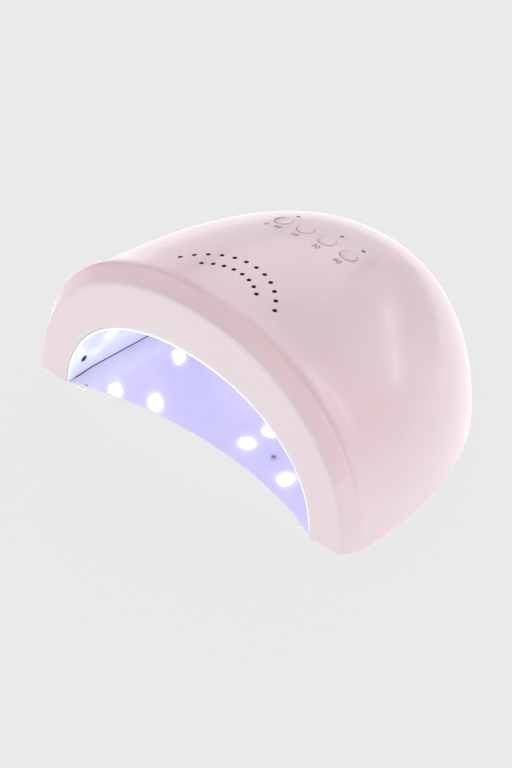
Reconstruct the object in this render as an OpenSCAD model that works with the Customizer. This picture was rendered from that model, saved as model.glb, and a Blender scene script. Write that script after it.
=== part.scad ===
// Nail curing lamp: moulded housing, white reflector tunnel, mirror floor plate, four buttons.
// Millimetres, +Z up, front towards -Y. The local frame of the modules starts at the front foot
// line and the shell's lower edge; seat() moves it to the origin at the middle of the base.

/* [Housing] */
// Overall width across the widest part of the dome
body_width = 196.6; // [180:0.2:215]
// Depth from the front foot line to the back
body_depth = 145.6; // [130:0.2:165]
// Height of the dome above the shell's lower edge
dome_height = 81.4; // [74:0.1:90]
// Wall thickness of the moulded shell
shell_wall = 2.2; // [1.8:0.1:3]
// Distance from the front at which the base is widest
widest_y = 24; // [8:1:30]
// Distance from the front at which the roof starts to fall
roof_level_y = 7.3; // [5:0.1:40]
// How square the cross sections are at the front and at the back
front_power = 2.365; // [2:0.005:2.6]
section_power = 2.144; // [2:0.002:2.6]
// Distances from the front between which the sections change over
power_from_y = 12; // [8:1:20]
power_to_y = 28; // [20:1:60]
// Plan outline powers, first along the depth and then of the width
plan_depth_power = 1.85; // [1.6:0.01:2.4]
plan_width_power = 2.13; // [1.8:0.01:2.8]
// Roof line powers, first along the depth and then of the height
roof_depth_power = 3.94; // [2.4:0.02:4.4]
roof_height_power = 2.4; // [2:0.1:3.4]

/* [Front ring and brow] */
// Backward lean of the flat front ring in degrees
ring_lean = 4.3; // [0:0.1:10]
// How far the ring's outer crease lies inside the widest part of the dome
crease_inset = 4.1; // [2:0.1:8]
// How far that crease lies below the top of the dome
crease_drop = 6.6; // [4:0.1:12]
// Width of the flat ring at the feet and on top
ring_side = 17.4; // [12:0.1:22]
ring_top = 20.2; // [14:0.1:26]
// Squareness of both front arches
arch_power = 2.13; // [2:0.01:2.4]
// Width of the small flat that breaks the crease
crease_break = 0.8; // [0.4:0.1:2]
// Distance of the brow's soft edge from the front at the feet
brow_y = 9.5; // [6:0.5:14]
// How much further back that edge lies on top, and how quickly it gets there
brow_reach = 3; // [0:0.5:12]
brow_power = 2.08; // [1:0.02:3]
// Depth of the rounded edge between the brow and the dome
brow_round = 6.6; // [3:0.1:10]
// Inset of the small chamfer round the shell's lower edge
edge_break = 1.2; // [0.4:0.1:2]

/* [Vents] */
// Diameter of the vent holes
vent_d = 2; // [1.6:0.1:2.6]
// Distance of the centre of the two vent arcs from the front
vent_centre_y = 7; // [4:0.5:12]
// Outer arc radius, number of holes and angle between them
vent_outer_r = 35.1; // [30:0.1:40]
vent_outer_count = 12; // [8:1:16]
vent_outer_step = 9.9; // [8:0.1:12]
// Inner arc radius, number of holes and angle between them
vent_inner_r = 27.2; // [22:0.1:32]
vent_inner_count = 8; // [6:1:12]
vent_inner_step = 10.7; // [8:0.1:13]

/* [Buttons] */
// Diameter of a button cap
button_d = 8; // [7:0.1:10]
// Gap around a cap in its hole
button_gap = 0.3; // [0.2:0.05:0.5]
// Distance between neighbouring buttons
button_pitch = 13.1; // [11:0.1:16]
// Distance of the button row from the back of the dome
button_row_back = 64.3; // [56:0.1:72]
// Backward tilt of the buttons and their board
button_tilt = 10.5; // [6:0.5:16]
// How far a cap's rim stands above the roof
cap_proud = 0.25; // [0.1:0.05:0.6]
// How far the dished middle lies below the roof
cap_dish = 0.2; // [0.1:0.05:0.5]
// Travel of a button when it is pressed
button_travel = 0.5; // [0.25:0.05:0.8]
// Distance of the indicator lights behind the buttons
indicator_offset = 9.5; // [8:0.1:12]
// Diameter of an indicator light guide
guide_d = 1.8; // [1.4:0.1:2.4]

/* [Button board] */
// How far the board's upper face lies below the roof at the button row
board_drop = 11.04; // [10.5:0.02:12]
// Size of the button board
button_board_w = 74; // [68:1:80]
button_board_l = 18; // [16:0.5:19]
// Thickness of every circuit board
board_t = 1.6; // [1:0.1:2]
// Half distance between the two bosses that hold the button board
board_boss_x = 32.5; // [30:0.5:36]

/* [Reflector] */
// Wall thickness of the white reflector
liner_wall = 1.5; // [1.2:0.1:2]
// Gap between the reflector's rim and the ring
rim_gap = 0.15; // [0.1:0.05:0.4]
// How far the side walls stand outside the mouth, and the roof below its top
vault_spread = 0.2; // [0:0.1:1]
vault_drop = 3.1; // [1:0.1:6]
// Height of the upright part of the side walls
side_height = 14; // [8:0.5:22]
// Width that each slanted panel covers between its side wall and the flat roof
slant_width = 27; // [20:0.5:34]
// Sharpness of the folds between the panels
fold_power = 18; // [8:1:30]
// Length of the rear chamfers, from their start to the back wall
chamfer_l = 33; // [25:1:40]
// How far the back wall's sides and roof lie inside those of the tunnel
back_inset = 30; // [20:1:36]
back_drop = 1.5; // [0:0.5:6]
// How far the slanted panels are cut back at the rear corners
corner_cut = 25; // [15:1:32]

/* [Floor plate and base] */
// Thickness of the ledge that carries the reflector and the floor plate
ledge_t = 1.2; // [1:0.1:1.6]
// Width of that ledge under the floor plate
ledge_w = 7; // [5:0.5:10]
// Thickness of the mirror floor plate
plate_t = 1.4; // [1:0.1:2]
// Gap between the floor plate and the reflector
plate_gap = 0.5; // [0.3:0.1:1]
// How deep the plate's front edge curves back between its sides
plate_notch = 12.3; // [6:0.1:18]
// Thickness of the base frame
frame_t = 2.4; // [2:0.1:3]
// Gap between the base frame and the shell
frame_gap = 0.2; // [0.1:0.05:0.4]
// Diameter of the rubber feet, and how far they stand below the base
foot_d = 10; // [8:0.5:14]
foot_h = 1; // [0.6:0.1:2]
// Diameter and thickness of the magnets that hold the floor plate
magnet_d = 5; // [4:0.5:6]
magnet_t = 0.9; // [0.6:0.1:1]

/* [Lamps] */
// Width of a lamp bead with its rounded corners, and its gap in the reflector
bead_w = 5.6; // [4.5:0.1:7]
bead_gap = 0.3; // [0.2:0.05:0.6]
// How far a bead's dome stands inside the reflector, and how high the dome rises on the bead
bead_reach = 1.6; // [0.8:0.1:3]
bead_dome = 1.2; // [0.6:0.1:2]
// Gap between the reflector and the lamp boards
lamp_board_gap = 1; // [0.5:0.1:2]
// Diameter of the hand sensors
sensor_d = 3; // [2:0.1:5]
// Width of the slanted lamp boards up the slope, and their margin past the end beads
side_board_h = 29; // [26:1:34]
side_board_margin = 9; // [6:0.5:12]
// Size of the lamp board behind the back wall
back_board_w = 70; // [66:1:80]
back_board_h = 18; // [14:1:22]

/* [Power] */
// Size of the socket's housing
socket_w = 10; // [9:0.5:12]
socket_l = 11; // [10:0.5:14]
socket_h = 11; // [10:0.5:13]
// Bore of the socket and diameter of its centre pin
jack_bore_d = 6.2; // [5:0.1:7]
jack_pin_d = 2; // [1.3:0.1:2.5]
// Depth of the socket's bore
jack_depth = 9.5; // [8:0.5:12]
// Diameter of the sleeve round its mouth, and its gap in the shell
sleeve_d = 8.8; // [8:0.1:10]
sleeve_gap = 0.3; // [0.2:0.05:0.6]
// Height of the driver board's lower face
driver_level = 4; // [3:0.5:8]
// Size of the driver board
driver_w = 66; // [60:1:72]
driver_l = 20; // [19:0.5:26]
// Distance of the driver board from the back of the dome, and from the reflector before it
driver_edge = 12.4; // [11:0.2:16]
driver_gap = 5.2; // [4:0.2:8]
// Diameter and height of the capacitors and of the inductor
can_d = 8; // [6:0.5:10]
can_h = 13; // [8:0.5:16]
coil_d = 12; // [9:0.5:13]
coil_h = 7; // [5:0.5:9]

/* [Screws] */
// Radius of the pilot bores and of the screws in them
pilot_r = 1.3; // [1:0.05:1.6]
screw_r = 1.25; // [0.9:0.05:1.5]
// Head of every screw
head_r = 2.6; // [2:0.1:3.2]
head_t = 1.4; // [1:0.1:2]

/* [Resolution] */
// Columns of points around the half arch of the housing
columns = 64; // [40:2:72]
// Rows of points from the brow to the back
dome_rows = 13; // [8:1:16]
// Columns of points around the reflector
liner_columns = 56; // [36:2:64]

/* [Hidden] */
$fn = 48;
eps = 0.01;
half_w = body_width / 2;
crease_half_width = half_w - crease_inset;
crease_height = dome_height - crease_drop;
mouth_half_width = crease_half_width - ring_side;
mouth_height = crease_height - ring_top;
vault_half_width = mouth_half_width + vault_spread;
vault_height = mouth_height - vault_drop;
roof_half_width = vault_half_width - slant_width;
back_half_width = vault_half_width - back_inset;
back_height = vault_height - back_drop;
// The driver board sits before the back of the dome, and the reflector ends before the board
driver_y = body_depth - driver_edge - driver_l;
driver_top = driver_level + board_t;
back_y = driver_y - driver_gap;
chamfer_y = back_y - chamfer_l;
vault_from_y = 16;
button_x = [-1.5 * button_pitch, -0.5 * button_pitch, 0.5 * button_pitch, 1.5 * button_pitch];
indicator_at = [0, 2, 3];
switch_h = 3.4;
plunger_h = 0.8;
plunger_r = 1.6;
board_front = 5;
seat_gap = 0.1;
liner_base = ledge_t;
jack_y = body_depth - 1.2;
jack_level = driver_top + socket_h / 2;
edge_f = 1.2;
bead_power = 5;
// Screw posts of the shell, the wall left over them, and rows of distance from the front and
// inset from the base's outline
post_r = 3.4;
post_cover = 1.6;
screw_rows = [[14, 11.3], [back_y - 48, 9.3], [back_y + 7, 17]];
// The same for the feet, with the inset of their rims
foot_rows = [[29, 6.2], [back_y - 31, 3.7], [back_y + 18, 10.8]];
magnet_x = vault_half_width - plate_gap - ledge_w / 2;
magnets_at = [for (y = [30, chamfer_y - 9], s = [-1, 1]) [s * magnet_x, y]];
driver_screws_at = [for (q = [[4, 3.8], [7, driver_l - 3.2]], s = [-1, 1])
    [s * (driver_w / 2 - q[0]), driver_y + q[1]]];
roof_posts_at = [[-15, back_y - 37], [15, back_y - 37]];
// Roof lamps: three at the front, and five before the back wall
roof_lamps_at = concat([[0, back_y - 44]],
    [for (q = [[31.5, 38], [30.5, 23.5]], s = [-1, 1]) [s * q[0], back_y - q[1]]],
    [[-27, 38], [27, 38], [0, 36]]);
roof_board_z = vault_height + liner_wall + lamp_board_gap;
// Lamps on each slanted panel: the first and last along the tunnel, and one higher between them
side_first = 25;
side_last = chamfer_y - 10;
side_lamps_at = [[side_first, 7], [side_first + (side_last - side_first) * 0.45, 21], [side_last, 7]];
back_lamps_x = [-27, 0, 27];
back_lamp_z = 25;
sensor_at = [9.6, 11];

// Radius of a superellipse of half width a and height h in the direction (c, s)
function gauge(c, s, a, h, n) = pow(pow(abs(c) / a, n) + pow(abs(s) / h, n), -1 / n);
// Half width and height of the dome's section at y, for a skin d inside the outer one
function fall(y, y0, d, n, m) =
    let (r = min(1, max(0, (y - y0) / (body_depth - d - y0)))) pow(1 - pow(r, n), 1 / m);
function dome_w(y, d) = (half_w - d) * fall(y, widest_y, d, plan_depth_power, plan_width_power);
function dome_h(y, d) =
    (dome_height - d) * fall(y, roof_level_y, d, roof_depth_power, roof_height_power);
function power(y) = section_power + (front_power - section_power)
    * pow(min(1, max(0, (power_to_y - y) / (power_to_y - power_from_y))), 2);
function dome_pt(y, f, d) =
    let (r = gauge(cos(f), sin(f), dome_w(y, d), dome_h(y, d), power(y)))
    [r * cos(f), y, r * sin(f)];
// Height of the dome's skin above the point x, y
function roof_z(x, y, d) =
    dome_h(y, d) * pow(1 - pow(abs(x) / dome_w(y, d), power(y)), 1 / power(y));
// Pairs of places, left and right, from a row's distance from the front and inset from the outline
function rows_at(rows, r) =
    [for (q = rows, s = [-1, 1]) [s * (dome_w(q[0], 0) - q[1] - r), q[0]]];
base_screws_at = rows_at(screw_rows, 0);
feet_at = rows_at(foot_rows, foot_d / 2);
function post_top(p) = min([for (a = [0, 45, 90])
    roof_z(abs(p[0]) + post_r * cos(a), p[1] + post_r * sin(a), 0)]) - post_cover;
// A point of the leaning front plane, on an arch of half width a and height h
function front_pt(a, h, f, d) =
    let (r = gauge(cos(f), sin(f), a, h, arch_power), z = r * sin(f))
    [r * cos(f), z * tan(ring_lean) + d, z];
function bend(a, b, c, t) = a * (1 - t) * (1 - t) + b * 2 * t * (1 - t) + c * t * t;
// One column of the housing's skin, from the mouth over the ring and brow to the back
function skin_column(f, d) =
    let (y2 = brow_y + brow_reach * pow(sin(f), brow_power),
         c1 = front_pt(crease_half_width - 0.8 * d, crease_height - 0.8 * d, f, d),
         c2 = dome_pt(y2, f, d),
         b0 = c1 * 0.3 + c2 * 0.7,
         b2 = dome_pt(y2 + brow_round, f, d),
         y3 = y2 + brow_round,
         span = body_depth - d - y3)
    concat([front_pt(mouth_half_width, mouth_height, f, d),
            front_pt(crease_half_width - 0.8 * d - crease_break,
                     crease_height - 0.8 * d - crease_break, f, d),
            c1 * 0.97 + c2 * 0.03, (c1 + c2) / 2, b0,
            bend(b0, c2, b2, 0.3), bend(b0, c2, b2, 0.6), b2],
           [for (k = [1 : dome_rows - 1]) dome_pt(y3 + span * sin(90 * k / dome_rows), f, d)]);
// Closed solid between two skins of the same grid, ending in one point each at the back
module skin_solid(outer, inner, tip_out, tip_in) {
    nc = len(outer);
    nr = len(outer[0]);
    n = nc * nr;
    points = concat([for (c = outer) each c], [for (c = inner) each c], [tip_out, tip_in]);
    faces = concat(
        [for (j = [0 : nc - 2], i = [0 : nr - 2]) let (a = j * nr + i, b = a + nr)
            each [[a, b + 1, a + 1], [a, b, b + 1],
                  [n + a, n + a + 1, n + b + 1], [n + a, n + b + 1, n + b]]],
        [for (j = [0 : nc - 2]) let (a = j * nr, b = a + nr, e = a + nr - 1, g = e + nr)
            each [[a, n + b, b], [a, n + a, n + b],
                  [e, g, 2 * n], [n + e, 2 * n + 1, n + g]]],
        [for (i = [0 : nr - 2]) let (a = i, b = n - nr + i)
            each [[a, n + a + 1, n + a], [a, a + 1, n + a + 1],
                  [b, n + b, n + b + 1], [b, n + b + 1, b + 1]]],
        [[nr - 1, 2 * n + 1, n + nr - 1], [nr - 1, 2 * n, 2 * n + 1],
         [n - 1, 2 * n - 1, 2 * n + 1], [n - 1, 2 * n + 1, 2 * n]]);
    polyhedron(points = points, faces = faces, convexity = 6);
}
function angles(n) = [for (i = [0 : n]) 180 * i / n];
// The same with one more column near each end, for the chamfer of the lower edge
function edged(a) = concat([0, edge_f], [for (i = [1 : len(a) - 2]) a[i]], [180 - edge_f, 180]);

// Offsets of the reflector's side, slanted and roof panels at y, for a skin t outside the inner one
slant = [vault_height - side_height, vault_half_width - roof_half_width];
slant_n = slant / norm(slant);
function taper(y, front, back) =
    y < chamfer_y ? front : front + (back - front) * (y - chamfer_y) / (back_y - chamfer_y);
function vault_gauge(c, s, y, t) =
    let (w = taper(y, vault_half_width, back_half_width) + t,
         h = taper(y, vault_height, back_height) + t,
         o = slant_n[0] * vault_half_width + slant_n[1] * side_height - taper(y, 0, corner_cut) + t,
         k = slant_n[0] * abs(c) + slant_n[1] * s)
    pow(pow(abs(c) / w, fold_power) + pow(s / h, fold_power) + pow(k / o, fold_power),
        -1 / fold_power);
function liner_pt(y, f, t, part) =
    let (c = cos(f), s = sin(f),
         inset = rim_gap + liner_wall - t,
         arch = gauge(c, s, mouth_half_width - inset, mouth_height - inset, arch_power),
         r = arch * (1 - part) + vault_gauge(c, s, y, t) * part,
         lean = max(0, 1 - y / vault_from_y) * tan(ring_lean))
    [r * c, y + r * s * lean, max(r * s, liner_base)];
function liner_column(f, t) = concat(
    [liner_pt(0.3, f, t, 0), liner_pt(shell_wall + 0.5, f, t, 0), liner_pt(8, f, t, 0.5)],
    [for (y = [vault_from_y, (vault_from_y + chamfer_y) / 2, chamfer_y, (chamfer_y + back_y) / 2,
               back_y - 2 + t]) liner_pt(y, f, t, 1)],
    [for (q = [[back_y - 0.5, 0.97], [back_y, 0.85], [back_y + 0.4, 0.4]])
        let (p = liner_pt(q[0] + t, f, t, 1))
        [p[0] * q[1], p[1], liner_base + (p[2] - liner_base) * q[1]]]);

module seat() { translate([0, -body_depth / 2, foot_h]) children(); }
// The tilted frame of the button board, its origin on the board's upper face at the button row
button_row_y = body_depth - button_row_back;
board_level = roof_z(0, button_row_y, 0) - board_drop;
board_y = button_row_y - 10.3 * sin(button_tilt);
module on_board() { translate([0, board_y, board_level]) rotate([-button_tilt, 0, 0]) children(); }
// Height of the roof's skin above the board's upper face, in the tilted frame
function roof_over(x, v, h, d) =
    (roof_z(x, board_y + v * cos(button_tilt) + h * sin(button_tilt), d) - board_level
        + v * sin(button_tilt)) / cos(button_tilt);
function above_board(x, v, d) = roof_over(x, v, roof_over(x, v, roof_over(x, v, 9, d), d), d);
// A place on the left slanted panel: y along the lamp and u up the slope, +Z pointing inwards
module on_slant(side, y, u) {
    scale_x = side;
    translate([scale_x * (vault_half_width - slant_n[1] * u), y, side_height + slant_n[0] * u])
        rotate([0, -side * (180 - acos(slant_n[1])), 0]) children();
}
module at_roof(p) { translate([p[0], p[1], vault_height]) rotate([180, 0, 0]) children(); }
module at_back(x) { translate([x, back_y, back_lamp_z]) rotate([90, 0, 0]) children(); }
module hole(r, below, above) { translate([0, 0, -below]) cylinder(r = r, h = below + above); }

module top_shell() {
    fs = edged(angles(columns));
    color([0.90, 0.80, 0.82]) seat() difference() {
        union() {
            skin_solid([for (f = fs) skin_column(f, f < 1 || f > 179 ? edge_break : 0)],
                       [for (f = fs) skin_column(f, shell_wall)],
                       [0, body_depth, 0], [0, body_depth - shell_wall, 0]);
            for (p = base_screws_at) translate([p[0], p[1], frame_t])
                cylinder(r = post_r, h = post_top(p) - frame_t);
            for (s = [-1, 1]) on_board() translate([s * board_boss_x, 2, seat_gap])
                cylinder(r = 3, h = above_board(board_boss_x + 3, 5, 0) - 1.3 - seat_gap);
            for (p = roof_posts_at) translate([p[0], p[1], vault_height + liner_wall + seat_gap])
                cylinder(r = 2.9, h = roof_z(abs(p[0]) + 3, p[1] + 3, 0) - 0.9
                    - vault_height - liner_wall - seat_gap);
        }
        for (p = base_screws_at) translate([p[0], p[1], 0]) hole(pilot_r, 0, 14);
        for (s = [-1, 1]) on_board() translate([s * board_boss_x, 2, 0]) hole(pilot_r, 1, 6);
        for (p = roof_posts_at) translate([p[0], p[1], vault_height]) hole(pilot_r, 0, 9);
        for (i = [0 : vent_outer_count - 1]) vent(vent_outer_r, vent_outer_step, vent_outer_count, i);
        for (i = [0 : vent_inner_count - 1]) vent(vent_inner_r, vent_inner_step, vent_inner_count, i);
        for (x = button_x) on_board() translate([x, 0, 4]) cylinder(d = button_d + 2 * button_gap, h = 12);
        for (i = indicator_at) on_board() translate([button_x[i], indicator_offset, 4])
            cylinder(d = guide_d + 0.1, h = 12);
        translate([0, body_depth + 2, jack_level]) rotate([90, 0, 0])
            cylinder(d = sleeve_d + 2 * sleeve_gap, h = 8);
    }
}
module vent(r, step, count, i) {
    a = 90 + step * (i - (count - 1) / 2);
    translate([r * cos(a), vent_centre_y + r * sin(a), dome_height - 13.4])
        cylinder(d = vent_d, h = 20, $fn = 24);
}
module reflector_liner() {
    fs = angles(liner_columns);
    color([0.96, 0.96, 0.98]) seat() difference() {
        skin_solid([for (f = fs) liner_column(f, liner_wall)], [for (f = fs) liner_column(f, 0)],
                   [0, back_y + liner_wall + 0.5, liner_base], [0, back_y + 0.5, liner_base]);
        for (s = [-1, 1], p = side_lamps_at) on_slant(s, p[0], p[1]) bead_block(bead_gap, -4, 8);
        for (p = roof_lamps_at) at_roof(p) bead_block(bead_gap, -4, 8);
        for (x = back_lamps_x) at_back(x) bead_block(bead_gap, -4, 8);
        for (p = roof_posts_at) at_roof(p) hole(screw_r + 0.15, 4, 4);
        for (s = [-1, 1]) translate([s * vault_half_width, sensor_at[0], sensor_at[1]])
            rotate([0, 90, 0]) hole(sensor_d / 2 + 0.1, 5, 5);
    }
}

// Right half of a base outline from a column of points, and the closed plates made with it
function plan(column, first) = [for (i = [first : len(column) - 1]) [column[i][0], column[i][1]]];
function mirrored(pts) = [for (p = pts) [-p[0], p[1]]];
function reversed(pts) = [for (i = [len(pts) - 1 : -1 : 0]) pts[i]];
module u_plate(outer, outer_tip, inner, inner_tip, t) {
    linear_extrude(height = t)
        polygon(concat(outer, [[0, outer_tip]], reversed(mirrored(outer)),
                       mirrored(inner), [[0, inner_tip]], reversed(inner)));
}
module base_frame() {
    inside = shell_wall + frame_gap;
    outer = plan(skin_column(0, inside), 1);
    color([0.92, 0.92, 0.93]) seat() difference() {
        union() {
            u_plate(outer, body_depth - inside, plan(liner_column(0, -plate_gap - ledge_w), 1),
                    back_y - ledge_w, ledge_t);
            translate([0, 0, ledge_t])
                u_plate(outer, body_depth - inside, plan(liner_column(0, liner_wall + 0.3), 1),
                        back_y + liner_wall + 0.8, frame_t - ledge_t);
            for (p = driver_screws_at) translate([p[0], p[1], frame_t])
                cylinder(r = 2.7, h = driver_level - frame_t);
        }
        for (p = base_screws_at) translate([p[0], p[1], 0]) {
            hole(screw_r + 0.2, 1, 5);
            hole(head_r + 0.3, 1, head_t + 0.2);
        }
        for (p = feet_at) translate([p[0], p[1], 0]) hole(foot_d / 2 + 0.05, 1, 0.6);
        for (p = magnets_at) translate([p[0], p[1], ledge_t - magnet_t]) hole(magnet_d / 2 + 0.05, 0, 2);
        for (p = driver_screws_at) translate([p[0], p[1], 0.8]) hole(pilot_r, 0, 6);
    }
}
module floor_plate() {
    edge = plan(liner_column(0, -plate_gap), 1);
    side = edge[0];
    arc = [for (i = [1 : 31]) let (x = side[0] * (i / 16 - 1))
        [x, side[1] + plate_notch * (1 - pow(x / side[0], 2))]];
    color([0.82, 0.80, 0.95]) seat() translate([0, 0, ledge_t]) linear_extrude(height = plate_t)
        polygon(concat(edge, [[0, back_y + 0.4 - plate_gap]], reversed(mirrored(edge)), arc));
}
module plate_magnets() {
    color([0.55, 0.56, 0.58]) seat() for (p = magnets_at)
        translate([p[0], p[1], ledge_t - magnet_t]) cylinder(d = magnet_d, h = magnet_t);
}
module rubber_feet() {
    color([0.30, 0.30, 0.31]) seat() for (p = feet_at)
        translate([p[0], p[1], -foot_h]) cylinder(d = foot_d, h = foot_h + 0.6);
}
module screw(length, hr, ht) {
    translate([0, 0, -ht]) cylinder(r = hr, h = ht);
    translate([0, 0, -eps]) cylinder(r = screw_r, h = length);
}
module base_screws() {
    color([0.6, 0.6, 0.62]) seat() for (p = base_screws_at)
        translate([p[0], p[1], head_t + 0.2]) screw(10, head_r, head_t);
}

// Height of a cap's flange above the button board, clear of the shell's inner skin
function flange_top(x) =
    min(above_board(abs(x) + 4.8, 4.8, shell_wall), above_board(abs(x) + 4.8, -4.8, shell_wall)) - 0.4;
module button_cap(i) {
    x = button_x[i];
    top = above_board(x, 0, 0);
    slope_x = (above_board(x + 0.5, 0, 0) - above_board(x - 0.5, 0, 0));
    slope_v = (above_board(x, 0.5, 0) - above_board(x, -0.5, 0));
    up = [-slope_x, -slope_v, 1] / norm([slope_x, slope_v, 1]);
    dish_r = button_d * button_d / 8 / (cap_proud + cap_dish);
    ft = flange_top(x);
    color([0.88, 0.78, 0.80]) seat() on_board() {
        difference() {
            translate([x, 0, ft - 0.9]) cylinder(d = button_d, h = top + 2.5 - ft + 0.9);
            translate([x, 0, top] + up * (dish_r - cap_dish)) sphere(r = dish_r, $fn = 96);
        }
        translate([x, 0, ft - 0.9]) cylinder(r = button_d / 2 + 1, h = 0.9);
        translate([x, 0, switch_h + plunger_h]) cylinder(r = 1.5, h = ft - 0.9 - switch_h - plunger_h);
    }
}
module button_1() { button_cap(0); }
module button_2() { button_cap(1); }
module button_3() { button_cap(2); }
module button_4() { button_cap(3); }
module plunger(i) {
    color([0.15, 0.15, 0.16]) seat() on_board() translate([button_x[i], 0, 1.5])
        cylinder(r = plunger_r, h = switch_h + plunger_h - 1.5);
}
module switch_plunger_1() { plunger(0); }
module switch_plunger_2() { plunger(1); }
module switch_plunger_3() { plunger(2); }
module switch_plunger_4() { plunger(3); }
module tact_switches() {
    color([0.2, 0.2, 0.22]) seat() on_board() for (x = button_x) difference() {
        translate([x - 3, -3, 0]) cube([6, 6, switch_h]);
        translate([x, 0, 1.5 - button_travel - 0.2]) cylinder(r = plunger_r + 0.1, h = 6);
    }
}
module button_board() {
    color([0.15, 0.42, 0.25]) seat() on_board() difference() {
        translate([-button_board_w / 2, -board_front, -board_t])
            cube([button_board_w, button_board_l, board_t]);
        for (s = [-1, 1]) translate([s * board_boss_x, 2, 0]) hole(screw_r + 0.15, 3, 1);
    }
}
module button_board_screws() {
    color([0.6, 0.6, 0.62]) seat() on_board() for (s = [-1, 1])
        translate([s * board_boss_x, 2, -board_t]) screw(board_t + 4.5, head_r, head_t);
}
module light_guides() {
    color([0.95, 0.95, 0.97]) seat() on_board() for (i = indicator_at)
        translate([button_x[i], indicator_offset, 1])
            cylinder(d = guide_d, h = above_board(button_x[i], indicator_offset, 0) - 1);
}
module indicator_leds() {
    color([0.95, 0.9, 0.6]) seat() on_board() for (i = indicator_at)
        translate([button_x[i] - 0.8, indicator_offset - 0.6, 0]) cube([1.6, 1.2, 1]);
}

module lamp_board_side(side) {
    color([0.93, 0.93, 0.9]) seat() on_slant(side, 0, 0) difference() {
        translate([side > 0 ? 0 : -side_board_h, side_first - side_board_margin,
                   -liner_wall - lamp_board_gap - board_t])
            cube([side_board_h, side_last - side_first + 2 * side_board_margin, board_t]);
        for (u = [4, side_board_h - 4], y = [side_first - 5, side_last + 5])
            translate([side * u, y, 0]) hole(1.1, 9, 1);
    }
}
module lamp_board_left() { lamp_board_side(-1); }
module lamp_board_right() { lamp_board_side(1); }
module lamp_board_roof() {
    corners = [[roof_half_width - 5, 28], [roof_half_width - 5, chamfer_y + 1],
               [roof_half_width - 21, back_y - 13]];
    color([0.93, 0.93, 0.9]) seat() translate([0, 0, roof_board_z]) difference() {
        linear_extrude(height = board_t) polygon(concat(corners, reversed(mirrored(corners))));
        for (p = roof_posts_at) translate([p[0], p[1], 0]) hole(3.3, 1, 4);
    }
}
module lamp_board_back() {
    color([0.93, 0.93, 0.9]) seat() at_back(0)
        translate([-back_board_w / 2, -back_board_h / 2, -liner_wall - lamp_board_gap - 0.5 - board_t])
            cube([back_board_w, back_board_h, board_t]);
}
// A square block with rounded corners, d larger all round than a bead, from z up by h
module bead_block(d, z, h) {
    w = bead_w / 2 + d;
    translate([0, 0, z]) linear_extrude(height = h)
        polygon([for (a = [4.5 : 9 : 360]) gauge(cos(a), sin(a), w, w, bead_power) * [cos(a), sin(a)]]);
}
// A lamp bead that stands on its board and looks through the reflector
module bead(gap) {
    reach = bead_w * 0.59;
    dome_r = (reach * reach + bead_dome * bead_dome) / (2 * bead_dome);
    intersection() {
        bead_block(0, -liner_wall - gap, liner_wall + gap + bead_reach + 1);
        translate([0, 0, bead_reach - dome_r]) sphere(r = dome_r, $fn = 64);
    }
    bead_block(0, -liner_wall - gap, liner_wall + gap + bead_reach - bead_dome);
}
module beads_side(side) {
    color([0.98, 0.98, 1]) seat() for (p = side_lamps_at) on_slant(side, p[0], p[1]) bead(lamp_board_gap);
}
module lamp_beads_left() { beads_side(-1); }
module lamp_beads_right() { beads_side(1); }
module lamp_beads_roof() {
    color([0.98, 0.98, 1]) seat() for (p = roof_lamps_at) at_roof(p) bead(lamp_board_gap);
}
module lamp_beads_back() {
    color([0.98, 0.98, 1]) seat() for (x = back_lamps_x) at_back(x) bead(lamp_board_gap + 0.5);
}
module liner_screws() {
    color([0.45, 0.45, 0.48]) seat() for (p = roof_posts_at) translate([p[0], p[1], vault_height])
        screw(8, 1.9, 0.9);
}
module hand_sensors() {
    color([0.12, 0.12, 0.16]) seat() for (s = [-1, 1])
        translate([s * (vault_half_width + 4), sensor_at[0], sensor_at[1]]) rotate([0, -90 * s, 0]) {
            cylinder(d = sensor_d, h = 4.2);
            translate([-3, -3, -1.6]) cube([6, 6, 1.6]);
        }
}
module driver_board() {
    color([0.15, 0.42, 0.25]) seat() difference() {
        translate([-driver_w / 2, driver_y, driver_level]) cube([driver_w, driver_l, board_t]);
        for (p = driver_screws_at) translate([p[0], p[1], driver_level]) hole(screw_r + 0.15, 1, 3);
    }
}
module driver_screws() {
    color([0.6, 0.6, 0.62]) seat() for (p = driver_screws_at)
        translate([p[0], p[1], driver_top]) rotate([180, 0, 0]) screw(board_t + 2.6, head_r, head_t);
}
module capacitors() {
    color([0.2, 0.22, 0.3]) seat() for (x = [-17, 17])
        translate([x, driver_y + driver_l / 2 + 0.3, driver_top]) cylinder(d = can_d, h = can_h);
}
module inductor() {
    color([0.3, 0.28, 0.26]) seat() translate([0, driver_y + coil_d / 2 + 1.8, driver_top]) difference() {
        cylinder(d = coil_d, h = coil_h);
        translate([0, 0, 1.2]) rotate_extrude() translate([coil_d / 2 - 1.6, 0]) square([3, coil_h - 2.4]);
    }
}
module connectors() {
    color([0.95, 0.95, 0.92]) seat() for (x = [-20, 20]) translate([x - 4, driver_y + 0.4, driver_top])
        difference() {
            cube([8, 4.6, 5.6]);
            translate([1, 1.2, 1.6]) cube([6, 2.2, 5]);
        }
}
module dc_socket() {
    color([0.1, 0.1, 0.11]) seat() difference() {
        union() {
            translate([-socket_w / 2, jack_y - 3.9 - socket_l, driver_top])
                cube([socket_w, socket_l, socket_h]);
            translate([0, jack_y, jack_level]) rotate([90, 0, 0]) cylinder(d = sleeve_d, h = 4);
        }
        translate([0, jack_y + 1, jack_level]) rotate([90, 0, 0])
            cylinder(d = jack_bore_d, h = jack_depth + 1);
    }
}
module socket_pin() {
    color([0.8, 0.78, 0.7]) seat() translate([0, jack_y - jack_depth, jack_level])
        rotate([-90, 0, 0]) cylinder(d = jack_pin_d, h = jack_depth - 0.8);
}
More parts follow.
